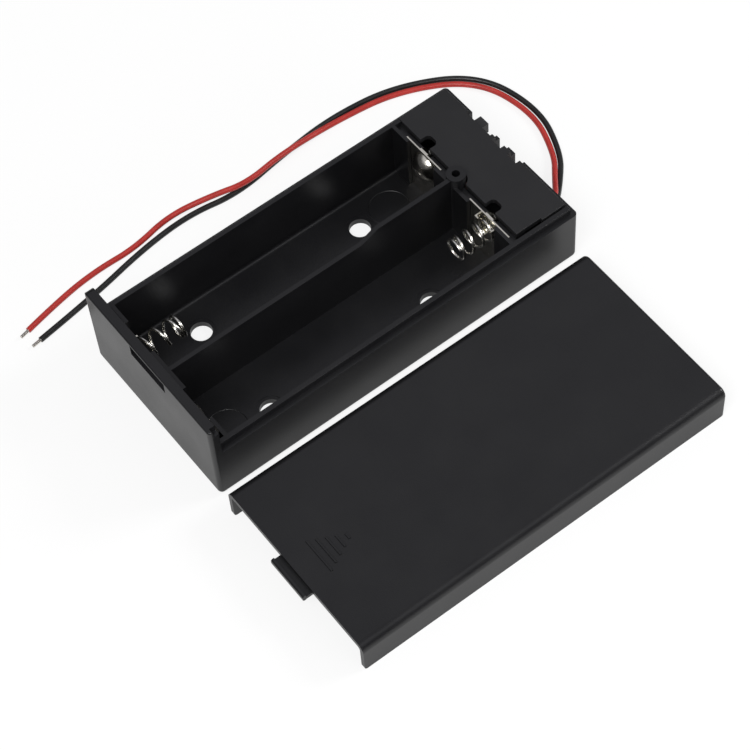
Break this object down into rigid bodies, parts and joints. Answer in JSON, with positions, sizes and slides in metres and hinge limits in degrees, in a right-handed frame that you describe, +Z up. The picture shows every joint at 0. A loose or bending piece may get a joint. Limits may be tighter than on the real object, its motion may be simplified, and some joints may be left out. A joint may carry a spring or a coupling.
{
  "type": "cylindrical cell holder",
  "caption": "Open plastic tray for two cylindrical cells side by side, with sprung contacts, a slide switch in its end compartment, two leads and a deep lid lying beside it.",
  "frame": {"origin": "centre of the tray's flat underside", "axes": "+X runs along the cells to the end where the leads come out, +Y points to the long side away from the lid, +Z points up out of the tray's mouth"},
  "size_m": [0.1236, 0.1138, 0.024],
  "materials": {
    "tray_plastic": "glossy moulded black",
    "cover_plastic": "satin moulded black",
    "lid_plastic": "glossy moulded black",
    "contact_sheet": "bright nickel plate",
    "spring_wire": "bright nickel plate",
    "switch_steel": "zinc plated sheet",
    "switch_board": "brown laminate",
    "knob_plastic": "moulded black",
    "switch_copper": "sprung copper alloy",
    "terminal_metal": "tinned",
    "red_insulation": "soft extruded covering",
    "black_insulation": "soft extruded covering",
    "solder": "bright solder",
    "bare_wire": "tinned strands"
  },
  "bodies": {
    "holder": {"tray": "tray_plastic", "compartment_cover": "cover_plastic", "lid": "lid_plastic", "near_contact_plate": "contact_sheet", "near_spring": "spring_wire", "far_button_contact": "contact_sheet", "far_spring_plate": "contact_sheet", "far_spring": "spring_wire", "switch_frame": "switch_steel", "switch_base": "switch_board", "switch_terminals": "terminal_metal", "jumper_wire": "black_insulation", "red_lead_inner": "red_insulation", "black_lead_inner": "black_insulation", "solder_joints": "solder", "red_lead": "red_insulation", "black_lead": "black_insulation", "red_lead_tip": "bare_wire", "black_lead_tip": "bare_wire"},
    "knob": {"switch_knob": "knob_plastic", "switch_contact_clip": "switch_copper"}
  },
  "joints": [
    {"name": "switch_slide", "type": "slide", "parent": "holder", "child": "knob", "axis": [0, 1, 0], "range_m": [-0.002, 0]}
  ]
}
